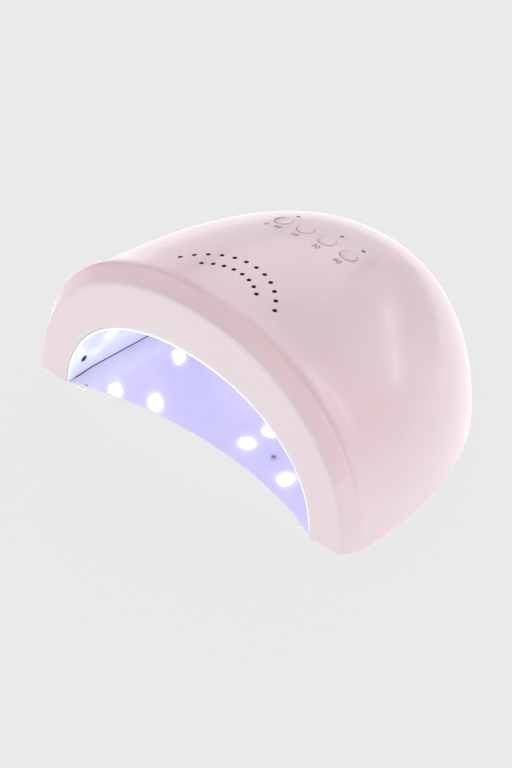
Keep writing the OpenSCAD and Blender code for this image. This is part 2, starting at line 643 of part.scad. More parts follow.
// A flat strip of width w that follows a path in a plane, mitred at its bends
function unit(v) = v / norm(v);
function beside(path, i, h) =
    let (a = unit(path[max(i, 1)] - path[max(i, 1) - 1]),
         b = i < len(path) - 1 ? unit(path[i + 1] - path[i]) : a,
         m = unit(a + b))
    path[i] + [-m[1], m[0]] * h / (m * a);
module strip(path, t, w) {
    linear_extrude(height = w, center = true)
        polygon(concat([for (i = [0 : len(path) - 1]) beside(path, i, t / 2)],
                       [for (i = [len(path) - 1 : -1 : 0]) beside(path, i, -t / 2)]));
}
module button_ribbon() {
    z = driver_top + 1.6;
    v = button_board_l - board_front;
    down = driver_y + 2.7;
    start = [board_y + v * cos(button_tilt) - 0.6 * sin(button_tilt),
             board_level - v * sin(button_tilt) - 0.6 * cos(button_tilt)];
    color([0.85, 0.85, 0.88]) seat() translate([20, 0, 0]) rotate([90, 0, 90])
        strip([start, [down - 17.9, board_level - 3.8], [down - 8.9, board_level - 6.4],
               [down - 2.9, board_level - 13.4], [down, board_level - 23.4], [down, z]], 0.6, 5);
}
module lamp_ribbons() {
    z = driver_top + 1.6;
    down = driver_y + 2.7;
    top = roof_board_z + board_t + 0.4;
    off = liner_wall + lamp_board_gap + board_t + 0.4;
    slope = [for (u = [22, 27.1]) [vault_half_width - slant_n[1] * u + slant_n[0] * off,
                                   side_height + slant_n[0] * u + slant_n[1] * off]];
    color([0.85, 0.85, 0.88]) seat() {
        translate([-20, 0, 0]) rotate([90, 0, 90])
            strip([[back_y - 18, top], [back_y - 8, top], [down - 7.9, top - 3],
                   [down - 1.9, top - 10], [down, top - 18], [down, z]], 0.6, 5);
        for (s = [0, 1]) mirror([s, 0, 0]) translate([0, 50, 0]) rotate([90, 0, 0])
            strip(concat(slope, [[roof_half_width + 11, top - 9.5], [roof_half_width + 5, top - 2],
                                 [roof_half_width - 1, top], [roof_half_width - 9, top]]), 0.6, 6);
    }
}

top_shell();
reflector_liner();
base_frame();
floor_plate();
plate_magnets();
rubber_feet();
base_screws();
button_1();
button_2();
button_3();
button_4();
switch_plunger_1();
switch_plunger_2();
switch_plunger_3();
switch_plunger_4();
tact_switches();
button_board();
button_board_screws();
light_guides();
indicator_leds();
lamp_board_left();
lamp_board_right();
lamp_board_roof();
lamp_board_back();
lamp_beads_left();
lamp_beads_right();
lamp_beads_roof();
lamp_beads_back();
liner_screws();
hand_sensors();
driver_board();
driver_screws();
capacitors();
inductor();
connectors();
dc_socket();
socket_pin();
button_ribbon();
lamp_ribbons();
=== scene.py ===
import math

import bmesh
import bpy
import numpy as np
from mathutils import Matrix, Vector
from mathutils.bvhtree import BVHTree


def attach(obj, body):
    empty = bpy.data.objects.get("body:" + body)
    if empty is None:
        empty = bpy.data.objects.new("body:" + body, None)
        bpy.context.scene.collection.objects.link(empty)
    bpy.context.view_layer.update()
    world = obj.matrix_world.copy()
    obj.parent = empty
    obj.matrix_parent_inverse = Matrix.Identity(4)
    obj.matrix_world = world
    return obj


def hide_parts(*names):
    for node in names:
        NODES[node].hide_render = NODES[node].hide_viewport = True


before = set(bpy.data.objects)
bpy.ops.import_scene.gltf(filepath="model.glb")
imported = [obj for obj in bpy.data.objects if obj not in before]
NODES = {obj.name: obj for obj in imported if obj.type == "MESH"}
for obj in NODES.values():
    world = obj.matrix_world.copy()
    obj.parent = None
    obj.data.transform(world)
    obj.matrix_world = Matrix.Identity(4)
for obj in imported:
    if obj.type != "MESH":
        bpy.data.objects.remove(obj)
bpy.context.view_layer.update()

MM = 0.001

# Housing, in millimetres from the front foot line and the shell's lower edge
HALF_WIDTH = 98.29
DEPTH = 145.6
DOME_HEIGHT = 81.4
FOOT_HEIGHT = 1.0
SHELL_WALL = 2.2
WIDEST_Y = 24.0
ROOF_LEVEL_Y = 7.3
FRONT_POWER = 2.365
SECTION_POWER = 2.144
POWER_FROM_Y = 12.0
POWER_TO_Y = 28.0
PLAN_DEPTH_POWER = 1.85
PLAN_WIDTH_POWER = 2.13
ROOF_DEPTH_POWER = 3.94
ROOF_HEIGHT_POWER = 2.4

# Front ring and brow
RING_LEAN = math.radians(4.3)
CREASE = (94.2, 74.8)
MOUTH = (76.8, 54.6)
ARCH_POWER = 2.13
CREASE_ROUND = 1.5
CREASE_INSET = 0.8
BEVEL_SHARE = 0.16
MOUTH_ROUND = 0.5
BROW_Y = 9.5
BROW_REACH = 3.0
BROW_POWER = 2.08
BROW_ROUND = 4.2
FOOT_ROUND = 1.7
DOME_STEPS = 72

# Holes in the roof and the back
HOLE_DEPTH = 6
HOLE_TOP = 3.0
HOLE_FLARE = 0.25
HOLE_SLOPE = math.radians(22)
VENT_RADIUS = 1.0
VENT_RIM = 0.25
VENT_CENTRE_Y = 7.0
VENT_ARCS = ((35.1, 12, 9.9), (27.2, 8, 10.7))
BUTTON_RADIUS = 4.0
BUTTON_GAP = 0.16
BUTTON_RIM = 0.2
BUTTON_PITCH = 13.1
BUTTON_ROW_Y = 81.3
BUTTON_TILT = math.radians(10.5)
BOARD_LEVEL = 67.4
BOARD_SUNK = 10.3
CAP_PROUD = 0.2
CAP_DISH = 0.2
CAP_EDGE = 0.3
CAP_CENTRE = 0.3
CAP_SKIRT = 3.2
SKIRT_GAP = 0.07
SKIRT_TOP = 0.12
FLANGE_WIDTH = 1
FLANGE_HEIGHT = 0.9
INDICATOR_OFFSET = 9.5
GUIDE_RADIUS = 0.9
GUIDE_GAP = 0.05
GUIDE_RIM = 0.15
INDICATOR_AT = (0, 2, 3)
JACK_LEVEL = 11.1
JACK_HOLE = 4.7
JACK_RIM = 0.5
NUMBERS = ("0 - 99", "10", "30", "60")
NUMBER_SIZE = 3.9
NUMBER_BOLD = 0.05
NUMBER_THICK = 0.01
NUMBER_LIFT = 0.015
NUMBER_SHIFT = 0.5
NUMBER_OFFSET = -7.7

# Reflector, floor plate and lamps
LINER_WALL = 1.5
RIM_THINNER = 0.2
RIM_DEPTH = 8.0
RIM_GAP = 0.15
RIM_END_Y = SHELL_WALL + 0.5
VAULT_FROM_Y = 16
VAULT = (77.0, 51.5)
SIDE_HEIGHT = 14.0
ROOF_HALF_WIDTH = 50.0
FOLD_POWER = 18
CHAMFER_Y = 75.0
BACK_Y = 108.0
BACK = (47.0, 50.0)
CORNER_CUT = 25.0
BACK_ROWS = ((-1.2, 0.995), (-0.5, 0.97), (-0.1, 0.93), (0, 0.85),
             (0.2, 0.6), (0.4, 0.4), (0.4, 0.2))
LEDGE = 1.2
PLATE = 1.4
PLATE_GAP = 0.5
PLATE_FRONT = (0.5, 1.6, 12.4)
PLATE_ROUND = 0.15
BEAD_WIDTH = 5.6
BEAD_GAP = 0.3
BEAD_REACH = 1.6
BEAD_DOME = 1.2
BEAD_POWER = 5
BEAD_EDGE = 0.25
BEAD_CORNER = 0.59
LINER_HOLE_RIM = 0.25
LAMP_BOARD_GAP = 1.0
BACK_BOARD_GAP = 0.5
ROOF_LAMPS = ((0, 64), (-31.5, 70), (31.5, 70), (-30.5, 84.5), (30.5, 84.5),
              (-27, 38), (27, 38), (0, 36))
SIDE_LAMPS = ((25, 7), (43, 21), (65, 7))
BACK_LAMPS = (-27, 0, 27)
BACK_LAMP_Z = 25.0
ROOF_SCREWS = ((-15, 71), (15, 71))
SCREW_HOLE = 1.4
SCREW_RIM = 0.15
SENSOR = (9.6, 11.0)
SENSOR_RADIUS = 1.6
SENSOR_INSET = 0.9
SENSOR_DEPTH = 5.0

# Camera at the photograph's viewing angle, in metres
CAMERA_PLACE = (0.6292, -0.6492, 0.6607)
CAMERA_TURN = (math.radians(54), 0, math.radians(45.37))
CAMERA_LENS = 116.65
CAMERA_FILM = 36.0

SEAT = np.array([0.0, -DEPTH / 2, FOOT_HEIGHT])
ACROSS = Vector((1, 0, 0))

# Where the rays that look for the skin start over it, and how far they go, in metres
RAY_START = 0.02
BOARD_RAY_START = 0.03
RAY_REACH = 0.06


# Surface formulas, the same as the solids have

def gauge(c, s, a, h, n):
    """Radius of a superellipse of half width a and height h in the direction c, s."""
    return ((np.abs(c) / a) ** n + (np.abs(s) / h) ** n) ** (-1 / n)


def fall(y, start, d, n, m):
    """Share of the full width or height that is left at y, from 1 at start to 0 at the back."""
    r = np.clip((y - start) / (DEPTH - d - start), 0, 1)
    return (1 - r ** n) ** (1 / m)


def dome_width(y, d):
    return (HALF_WIDTH - d) * fall(y, WIDEST_Y, d, PLAN_DEPTH_POWER, PLAN_WIDTH_POWER)


def dome_height(y, d):
    return (DOME_HEIGHT - d) * fall(y, ROOF_LEVEL_Y, d, ROOF_DEPTH_POWER, ROOF_HEIGHT_POWER)


def dome_power(y):
    near = np.clip((POWER_TO_Y - y) / (POWER_TO_Y - POWER_FROM_Y), 0, 1)
    return SECTION_POWER + (FRONT_POWER - SECTION_POWER) * near ** 2


def dome_point(y, f, d):
    c, s = np.cos(f), np.sin(f)
    r = gauge(c, s, dome_width(y, d), dome_height(y, d), dome_power(y))
    return np.stack([r * c, y + 0 * r, r * s], -1)


def front_point(size, f, d):
    c, s = np.cos(f), np.sin(f)
    r = gauge(c, s, size[0], size[1], ARCH_POWER)
    return np.stack([r * c, r * s * math.tan(RING_LEAN) + d, r * s], -1)


def bend(a, b, c, t):
    """Point at t on the quadratic curve from a to c with its handle at b."""
    return a * (1 - t) ** 2 + b * 2 * t * (1 - t) + c * t * t


def inset(size, by):
    return (size[0] - by, size[1] - by)


def shell_rows(f, d):
    """The housing's skin at the angles f, from the mouth over ring and brow to the back."""
    sin_f = np.sin(f)
    edge_y = BROW_Y + BROW_REACH * sin_f ** BROW_POWER
    crease = front_point(inset(CREASE, CREASE_INSET * d), f, d)
    corner = dome_point(edge_y, f, d)
    round_start = 0.2 * crease + 0.8 * corner
    round_end = dome_point(edge_y + BROW_ROUND, f, d)
    ring_end = front_point(inset(CREASE, CREASE_INSET * d + CREASE_ROUND), f, d)
    bevel_start = crease + (corner - crease) * BEVEL_SHARE
    ring_start = front_point(inset(MOUTH, -MOUTH_ROUND), f, d)
    mouth_edge = front_point(MOUTH, f, d)
    mouth_wall = mouth_edge + np.array([0, MOUTH_ROUND if d == 0 else 0.01, 0])
    rows = [bend(mouth_wall, mouth_edge, ring_start, t) for t in np.linspace(0, 1, 5)]
    rows += [ring_start + (ring_end - ring_start) * t for t in np.linspace(0, 1, 9)[1:-1]]
    rows += [bend(ring_end, crease, bevel_start, t) for t in np.linspace(0, 1, 7)]
    rows += [bevel_start + (round_start - bevel_start) * t for t in np.linspace(0, 1, 4)[1:-1]]
    rows += [bend(round_start, corner, round_end, t) for t in np.linspace(0, 1, 13)]
    start = edge_y + BROW_ROUND
    rows += [dome_point(start + (DEPTH - d - start) * math.sin(math.pi / 2 * k / DOME_STEPS), f, d)
             for k in range(1, DOME_STEPS)]
    return np.stack(rows, 1)


def foot_round(grid):
    """Rounds the lower edge of a skin by drawing its lowest points inwards."""
    along = np.gradient(grid, axis=1)
    across = np.gradient(grid, axis=0)
    normal = np.cross(across, along)
    flat = normal * np.array([1, 1, 0])
    flat /= np.maximum(np.linalg.norm(flat, axis=2, keepdims=True), 1e-9)
    sunk = np.clip(FOOT_ROUND - grid[..., 2:3], 0, FOOT_ROUND)
    inwards = FOOT_ROUND - np.sqrt(FOOT_ROUND ** 2 - sunk ** 2)
    return grid + flat * inwards


def shell_angles(count):
    """Angles around the half arch, with close ones at both feet for the rounded edge."""
    near = np.arcsin(FOOT_ROUND * (1 - np.sin(np.linspace(math.pi / 2, 0, 7))) / HALF_WIDTH)
    middle = np.linspace(0, math.pi, count + 1)[1:-1]
    return np.concatenate([near, middle, math.pi - near[::-1]])


# Meshes

def new_object(name, verts, faces, materials, soft_angle=35):
    mesh = bpy.data.meshes.new(name)
    mesh.from_pydata([tuple(v) for v in verts], [], faces)
    mesh.validate()
    bm = bmesh.new()
    bm.from_mesh(mesh)
    bmesh.ops.remove_doubles(bm, verts=bm.verts, dist=1e-7)
    bmesh.ops.recalc_face_normals(bm, faces=bm.faces)
    bm.to_mesh(mesh)
    bm.free()
    return object_of(name, mesh, materials, soft_angle)


def placed(name, data):
    """A new object in the scene."""
    obj = bpy.data.objects.new(name, data)
    bpy.context.scene.collection.objects.link(obj)
    return obj


def object_of(name, mesh, materials, soft_angle=35):
    obj = placed(name, mesh)
    mesh.materials.clear()
    for m in materials:
        mesh.materials.append(m)
    shade(mesh, soft_angle)
    return obj


def evaluated_mesh(obj):
    """A plain mesh of the object with its modifiers applied."""
    graph = bpy.context.evaluated_depsgraph_get()
    return bpy.data.meshes.new_from_object(obj.evaluated_get(graph))


def shade(mesh, soft_angle):
    mesh.polygons.foreach_set("use_smooth", [True] * len(mesh.polygons))
    mesh.set_sharp_from_angle(angle=math.radians(soft_angle))
    mesh.update()


def seated(points):
    """Millimetres in the lamp's own frame to metres in the row's frame."""
    return (np.asarray(points, float) + SEAT) * MM


def closed_skin(outer, inner, tip_outer, tip_inner):
    """Vertices and faces of the solid between two grids of points, each with a tip at the back."""
    nc, nr = outer.shape[:2]
    n = nc * nr
    verts = np.concatenate([outer.reshape(-1, 3), inner.reshape(-1, 3), [tip_outer, tip_inner]])
    faces = []
    for j in range(nc - 1):
        for i in range(nr - 1):
            a = j * nr + i
            b = a + nr
            faces.append((a, b, b + 1, a + 1))
            faces.append((n + a, n + a + 1, n + b + 1, n + b))
        a, b = j * nr, j * nr + nr
        faces.append((a, n + a, n + b, b))
        faces.append((a + nr - 1, b + nr - 1, 2 * n))
        faces.append((n + a + nr - 1, 2 * n + 1, n + b + nr - 1))
    for i in range(nr - 1):
        a, b = i, n - nr + i
        faces.append((a, a + 1, n + a + 1, n + a))
        faces.append((b, n + b, n + b + 1, b + 1))
    faces.append((nr - 1, 2 * n, 2 * n + 1, n + nr - 1))
    faces.append((n - 1, 2 * n - 1, 2 * n + 1, 2 * n))
    return verts, faces


def axes_about(normal, side):
    """Unit vectors along the normal, across it towards side, and across both."""
    up = Vector(normal).normalized()
    e1 = (Vector(side) - up * up.dot(Vector(side))).normalized()
    return up, e1, up.cross(e1)


def tube_faces(rings, sides):
    """Faces of a solid of stacked rings: the wall, the bottom and the top."""
    faces = []
    for i in range(rings - 1):
        for k in range(sides):
            a, b = i * sides + k, i * sides + (k + 1) % sides
            faces.append((a, b, b + sides, a + sides))
    faces.append(tuple(reversed(range(sides))))
    faces.append(tuple(range((rings - 1) * sides, rings * sides)))
    return faces


def lathe(profile, origin, normal, side, sides, power=2, drop=None):
    """Closed solid from (half width, height) pairs, bottom to top.

    It is round or, with a higher power, squarish. drop(r) lowers a point at r from the axis.
    """
    up, e1, e2 = axes_about(normal, side)
    verts = []
    for r, h in profile:
        for k in range(sides):
            a = 2 * math.pi * k / sides
            reach = r * float(gauge(math.cos(a), math.sin(a), 1, 1, power))
            z = h - (drop(reach) if drop else 0)
            verts.append(Vector(origin) + (e1 * math.cos(a) + e2 * math.sin(a)) * reach + up * z)
    return verts, tube_faces(len(profile), sides)


def joined(parts):
    """One vertex list and face list from several (verts, faces) pairs."""
    verts, faces = [], []
    for v, f in parts:
        base = len(verts)
        verts += list(v)
        faces += [tuple(i + base for i in face) for face in f]
    return verts, faces


def surface_tree(obj):
    bm = bmesh.new()
    bm.from_mesh(obj.data)
    tree = BVHTree.FromBMesh(bm)
    bm.free()
    return tree


def hole_cutter(tree, origin, normal, radius, rim, sides):
    """Cutter whose upper edge follows the skin, so that the hole gets an even rounded rim."""
    up, e1, e2 = axes_about(normal, ACROSS)
    slope = HOLE_SLOPE
    levels = [(radius, -HOLE_DEPTH)]
    levels += [(radius + rim * (1 - math.sin(t)), rim * (math.cos(t) - math.cos(slope)))
               for t in (math.pi / 2, 1.2, 0.85, 0.55, slope)]
    last_r, last_h = levels[-1]
    wide = last_r + HOLE_FLARE * math.cos(slope)
    levels += [(wide, last_h + HOLE_FLARE * math.sin(slope)), (wide, HOLE_TOP)]
    verts = []
    for r, h in levels:
        for k in range(sides):
            a = 2 * math.pi * k / sides
            foot = Vector(origin) + (e1 * math.cos(a) + e2 * math.sin(a)) * (r * MM)
            hit = tree.ray_cast(foot + up * RAY_START, -up, RAY_REACH)[0]
            verts.append(hit + up * (h * MM))
    return verts, tube_faces(len(levels), sides)


def cut(obj, cutters, soft_angle=35):
    """Takes the cutters out of obj and leaves a plain mesh."""
    tool = new_object("cutter", *joined(cutters), [])
    hole = obj.modifiers.new("holes", "BOOLEAN")
    hole.operation = "DIFFERENCE"
    hole.solver = "EXACT"
    hole.object = tool
    result = evaluated_mesh(obj)
    obj.modifiers.clear()
    old = obj.data
    obj.data = result
    shade(result, soft_angle)
    bpy.data.objects.remove(tool)
    bpy.data.meshes.remove(old)


def dome_normals(obj):
    """Gives the dome's own normals to the corners that lie on it, so that the holes leave no marks."""
    mesh = obj.data
    co = np.zeros(len(mesh.vertices) * 3)
    mesh.vertices.foreach_get("co", co)
    p = co.reshape(-1, 3) / MM - SEAT
    front_y, back_y, low_z = BROW_Y + BROW_REACH + BROW_ROUND + 1, DEPTH - 2, FOOT_ROUND + 1
    skin_gap, same_way = 0.02, 0.8

    def level(q):
        y = np.clip(q[:, 1], 0, DEPTH - 1e-6)
        n = dome_power(y)
        return (np.abs(q[:, 0]) / dome_width(y, 0)) ** n + (np.abs(q[:, 2]) / dome_height(y, 0)) ** n

    step = 1e-4
    grad = np.stack([(level(p + e) - level(p - e)) / (2 * step) for e in np.eye(3) * step], 1)
    size = np.linalg.norm(grad, axis=1)
    grad /= size[:, None]
    off = np.abs(level(p) - 1) / size
    on = (off < skin_gap) & (p[:, 1] > front_y) & (p[:, 1] < back_y) & (p[:, 2] > low_z)
    normals = [(0.0, 0.0, 0.0)] * len(mesh.loops)
    for poly in mesh.polygons:
        facing = poly.normal
        for i in poly.loop_indices:
            v = mesh.loops[i].vertex_index
            if on[v] and facing.dot(Vector(grad[v])) > same_way:
                normals[i] = tuple(grad[v])
    mesh.normals_split_custom_set(normals)


# Node materials

class Shader:
    """A node material in the making: add() puts a node in, link() joins two sockets."""

    def __init__(self, name):
        self.material = bpy.data.materials.new(name)
        self.material.use_nodes = True
        self.tree = self.material.node_tree
        self.base = self.tree.nodes["Principled BSDF"]
        self.place = self.add("ShaderNodeTexCoord").outputs["Object"]

    def add(self, kind, **values):
        node = self.tree.nodes.new(kind)
        for key, value in values.items():
            if hasattr(node, key):
                setattr(node, key, value)
            else:
                node.inputs[key.replace("_", " ")].default_value = value
        return node

    def link(self, a, b):
        self.tree.links.new(a, b)

    def set(self, **values):
        for key, value in values.items():
            self.base.inputs[key.replace("_", " ")].default_value = value

    def noise(self, scale, detail=3.0, roughness=0.5):
        node = self.add("ShaderNodeTexNoise", Scale=scale, Detail=detail, Roughness=roughness)
        self.link(self.place, node.inputs["Vector"])
        return node.outputs["Fac"]

    def spread(self, value, low, high, start=0.3, end=0.7):
        node = self.add("ShaderNodeMapRange")
        for socket, number in zip(("From Min", "From Max", "To Min", "To Max"), (start, end, low, high)):
            node.inputs[socket].default_value = number
        self.link(value, node.inputs["Value"])
        return node.outputs["Result"]

    def feed(self, value, socket):
        """Links the value if it is a socket, or else sets it."""
        if isinstance(value, bpy.types.NodeSocket):
            self.link(value, socket)
        else:
            socket.default_value = value

    def maths(self, operation, *values):
        node = self.add("ShaderNodeMath", operation=operation)
        for value, socket in zip(values, node.inputs):
            self.feed(value, socket)
        return node.outputs[0]

    def times(self, a, b):
        return self.maths("MULTIPLY", a, b)

    def axes(self):
        """The X, Y and Z of the place on the object."""
        node = self.add("ShaderNodeSeparateXYZ")
        self.link(self.place, node.inputs[0])
        return node.outputs["X"], node.outputs["Y"], node.outputs["Z"]

    def point(self, x, y, z=0):
        node = self.add("ShaderNodeCombineXYZ")
        for value, socket in zip((x, y, z), node.inputs):
            self.feed(value, socket)
        return node.outputs[0]

    def distance(self, point, place):
        node = self.add("ShaderNodeVectorMath", operation="DISTANCE")
        self.link(point, node.inputs[0])
        node.inputs[1].default_value = place
        return node.outputs["Value"]

    def blend(self, factor, a, b):
        node = self.add("ShaderNodeMix", data_type="RGBA")
        self.link(factor, node.inputs["Factor"])
        for socket, value in (("A", a), ("B", b)):
            target = [i for i in node.inputs if i.name == socket and i.type == "RGBA"][0]
            if isinstance(value, (tuple, list)):
                target.default_value = (*value[:3], 1)
            else:
                self.link(value, target)
        return [o for o in node.outputs if o.type == "RGBA"][0]

    def colour(self, value):
        self.link(value, self.base.inputs["Base Color"])

    def rough(self, value):
        self.link(value, self.base.inputs["Roughness"])

    def bump(self, height, strength, distance):
        node = self.add("ShaderNodeBump", Strength=strength, Distance=distance)
        self.link(height, node.inputs["Height"])
        self.link(node.outputs["Normal"], self.base.inputs["Normal"])


def srgb(*values):
    """Linear colour from the 8-bit values that a picture shows."""
    c = np.array(values) / 255
    return tuple(float(x) for x in np.where(c <= 0.04045, c / 12.92, ((c + 0.055) / 1.055) ** 2.4))


def moulded(name, colour, roughness, grain=900, bump=0.02, vary=0.03, **values):
    """Moulded plastic: a faint cloudiness in the colour, an uneven gloss and a fine grain."""
    s = Shader(name)
    darker = tuple(c * (1 - vary) for c in colour)
    s.colour(s.blend(s.spread(s.noise(18, 2), 0, 1), colour, darker))
    s.rough(s.spread(s.noise(60, 4), roughness - 0.03, roughness + 0.03))
    s.bump(s.noise(grain, 2), bump, 0.0002)
    s.set(**values)
    return s.material


def metal(name, colour, roughness, scale=400):
    s = Shader(name)
    s.colour(s.blend(s.spread(s.noise(scale, 4), 0, 1), colour, tuple(c * 0.86 for c in colour)))
    s.rough(s.spread(s.noise(scale * 2, 3), roughness - 0.06, roughness + 0.08))
    s.bump(s.noise(scale * 3, 3), 0.05, 0.0001)
    s.set(Metallic=1.0)
    return s.material


def glowing(name, colour, roughness, glow, strength, **values):
    s = Shader(name)
    s.colour(s.blend(s.spread(s.noise(80, 3), 0, 1), colour, tuple(c * 0.96 for c in colour)))
    s.rough(s.spread(s.noise(200, 3), max(0.02, roughness - 0.02), roughness + 0.03))
    s.set(Emission_Color=(*glow, 1), Emission_Strength=strength, **values)
    return s.material


def circuit(name, mask, copper):
    """Solder mask over tracks: broad cells of two tints with fine lines."""
    s = Shader(name)
    cells = s.add("ShaderNodeTexVoronoi", feature="DISTANCE_TO_EDGE", Scale=320)
    s.link(s.place, cells.inputs["Vector"])
    lines = s.spread(cells.outputs["Distance"], 0, 1, 0.02, 0.06)
    s.colour(s.blend(lines, copper, mask))
    s.rough(s.spread(s.noise(200, 2), 0.3, 0.45))
    s.bump(lines, 0.2, 0.00004)
    return s.material


SENSOR_PLACE = Vector(seated([VAULT[0] - SENSOR_INSET, *SENSOR]))


def painted_glow_liner():
    """White reflector with painted light: a painted glow, bright round each lamp and fading towards the
    floor, with painted shade round the sensor hole and in the slit at its foot.
    """
    s = Shader("liner_white")
    x, y, z = s.axes()
    mirrored = s.point(s.maths("ABSOLUTE", x), y, z)
    # Painted shade round the sensor hole: dark colour and dark glow on the reflector's rim there
    sensor_hole_shade = s.spread(s.distance(mirrored, SENSOR_PLACE), 1, 0, 0.0019, 0.0023)
    white = s.blend(s.spread(s.noise(80, 3), 0, 1), srgb(232, 236, 250), srgb(226, 230, 246))
    # Painted shade at the reflector's foot, in the slit beside the floor plate
    foot = s.times(s.spread(z, 1, 0, 0.0038, 0.0040), s.spread(y, 0, 1, -0.069, -0.067))
    s.colour(s.blend(foot, s.blend(sensor_hole_shade, white, srgb(50, 44, 120)), srgb(60, 50, 100)))
    s.rough(s.spread(s.noise(200, 3), 0.18, 0.23))
    # Painted light: the reflector glows though it is no lamp, tinted by height, with a painted pool of
    # light round each lamp
    lower = s.blend(s.spread(z, 0, 1, 0.004, 0.018), srgb(186, 182, 240), srgb(196, 255, 252))
    slant = s.blend(s.spread(z, 0, 1, 0.0148, 0.0154), lower, srgb(188, 184, 244))
    roof = s.blend(s.spread(z, 0, 1, 0.046, 0.0525), slant, srgb(214, 216, 250))
    halo = None
    for place in [spot for _, spot, _ in lamp_places() if spot.x > -1e-6]:
        near = s.spread(s.distance(mirrored, place), 1, 0, 0.0028, 0.0085)
        near = s.times(near, near)
        halo = s.maths("ADD", halo, near) if halo else near
    tint = s.blend(sensor_hole_shade, s.blend(halo, roof, (0.9, 0.96, 1.0)), srgb(60, 54, 150))
    s.link(tint, s.base.inputs["Emission Color"])
    glow = s.maths("MULTIPLY_ADD", halo, 0.5, s.spread(z, 0.0, 0.21, 0.002, 0.013))
    s.link(glow, s.base.inputs["Emission Strength"])
    return s.material


def base_plastic():
    """White moulded frame, with painted shade on the ledge that lies in the slit round the floor plate
    and a faint painted glow along its front edge.
    """
    s = Shader("base_white")
    _, y, z = s.axes()
    # Painted shade on the ledge in the slit round the floor plate
    ledge = s.times(s.spread(z, 0, 1, 0.0017, 0.0020), s.spread(y, 0, 1, -0.067, -0.064))
    white = s.blend(s.spread(s.noise(18, 2), 0, 1), srgb(228, 224, 226), srgb(220, 216, 219))
    s.colour(s.blend(ledge, white, srgb(70, 62, 110)))
    # Painted light: the front edge of the frame glows faintly though it is no lamp
    s.set(Emission_Color=(*srgb(226, 222, 238), 1))
    s.link(s.spread(y, 0.16, 0, -0.069, -0.066), s.base.inputs["Emission Strength"])
    s.rough(s.spread(s.noise(60, 4), 0.42, 0.48))
    s.bump(s.noise(1500, 2), 0.12, 0.0002)
    return s.material


def screw_head():
    """Plated screw with painted shade for a socket in the middle, for the pair in the roof of the
    reflector.
    """
    s = Shader("screw_dark")
    x, y, _ = s.axes()
    screw_x, screw_y = ROOF_SCREWS[1]
    middle = (screw_x * MM, (screw_y + SEAT[1]) * MM, 0)
    away = s.distance(s.point(s.maths("ABSOLUTE", x), y), middle)
    plated = s.blend(s.spread(s.noise(400, 3), 0, 1), srgb(222, 220, 242), srgb(206, 204, 234))
    # Painted shade: a dark socket in the middle of the screw head
    s.colour(s.blend(s.spread(away, 0, 1, 0.0008, 0.0011), srgb(16, 10, 50), plated))
    s.rough(s.spread(s.noise(300, 3), 0.35, 0.5))
    s.set(Specular_IOR_Level=0.2)
    return s.material


def key_plastic():
    """Pink like the housing, with the shade that a sunk cap has along its front left edge."""
    s = Shader("key_pink")
    x, y, _ = s.axes()
    lit = (BUTTON_PITCH / 2 * MM + 0.0006, (BUTTON_ROW_Y + SEAT[1]) * MM + 0.0009, 0)
    away = s.distance(s.point(s.maths("WRAP", x, BUTTON_PITCH * MM, 0), y), lit)
    pink = s.blend(s.spread(s.noise(30, 2), 0, 1), srgb(233, 210, 216), srgb(230, 206, 213))
    s.colour(s.blend(s.spread(away, 0, 1, 0.0026, 0.0052), pink, srgb(210, 182, 190)))
    s.rough(s.spread(s.noise(80, 4), 0.26, 0.34))
    s.bump(s.noise(900, 2), 0.03, 0.0002)
    return s.material


def shell_plastic():
    """Glossy moulded pink with painted light: paler on the ring, low down and towards the back, and full
    pink high at the front; with a thin coat behind the brow.
    """
    s = Shader("shell_pink")
    _, y, z = s.axes()
    ahead = s.add("ShaderNodeVectorMath", operation="DOT_PRODUCT")
    s.link(s.place, ahead.inputs[0])
    ahead.inputs[1].default_value = (0, 1, -math.tan(RING_LEAN))
    behind_ring = s.spread(ahead.outputs["Value"], 0, 1, SEAT[1] * MM, (SEAT[1] + 2.5) * MM)
    cloud = s.spread(s.noise(18, 2), 0, 1)
    high = s.spread(z, 0.25, 1, 0.012, 0.05)
    fore = s.spread(y, 1, 0.6, -0.04, 0.02)
    # Painted light: the paler pink stands for the washed-out look of brightly lit plastic on the ring
    # and the lower and back parts
    pale = s.blend(cloud, srgb(222, 208, 211), srgb(220, 205, 208))
    full = s.blend(cloud, srgb(232, 205, 211), srgb(230, 202, 209))
    s.colour(s.blend(s.times(s.times(high, fore), behind_ring), pale, full))
    s.rough(s.spread(s.noise(60, 4), 0.19, 0.23))
    s.bump(s.noise(900, 2), 0.02, 0.0002)
    s.link(s.spread(y, 0, 0.1, -0.060, -0.040), s.base.inputs["Coat Weight"])
    s.set(Coat_Roughness=0.07)
    return s.material


shell_pink = shell_plastic()
key_pink = key_plastic()
vent_shadow = moulded("vent_shadow", srgb(58, 48, 50), 0.7, vary=0.3)
base_white = base_plastic()
# Painted light: the floor plate glows faintly lavender though it is no lamp
plate_mirror = glowing("plate_mirror", srgb(233, 225, 230), 0.05, srgb(208, 202, 246), 0.1,
                       Metallic=0.9)
plate_edge = moulded("plate_edge", srgb(216, 216, 220), 0.4)
bead_lens = glowing("bead_lens", srgb(240, 242, 255), 0.1, srgb(236, 240, 255), 6.0)
rubber_grey = moulded("rubber_grey", srgb(84, 84, 86), 0.8, grain=2500, bump=0.3, vary=0.2)
steel = metal("steel", (0.62, 0.62, 0.64), 0.32)
magnet_steel = metal("magnet_steel", (0.66, 0.65, 0.66), 0.22)
sensor_dark = moulded("sensor_dark", srgb(24, 20, 64), 0.5, vary=0.3, Specular_IOR_Level=0.2)
guide_smoke = moulded("guide_smoke", srgb(120, 92, 98), 0.1, vary=0.2)
print_grey = moulded("print_grey", srgb(128, 112, 118), 0.5, vary=0.1)
socket_black = moulded("socket_black", srgb(36, 36, 38), 0.4, grain=1800, bump=0.1, vary=0.2)
screw_dark = screw_head()
pin_gold = metal("pin_gold", (0.80, 0.66, 0.38), 0.25)
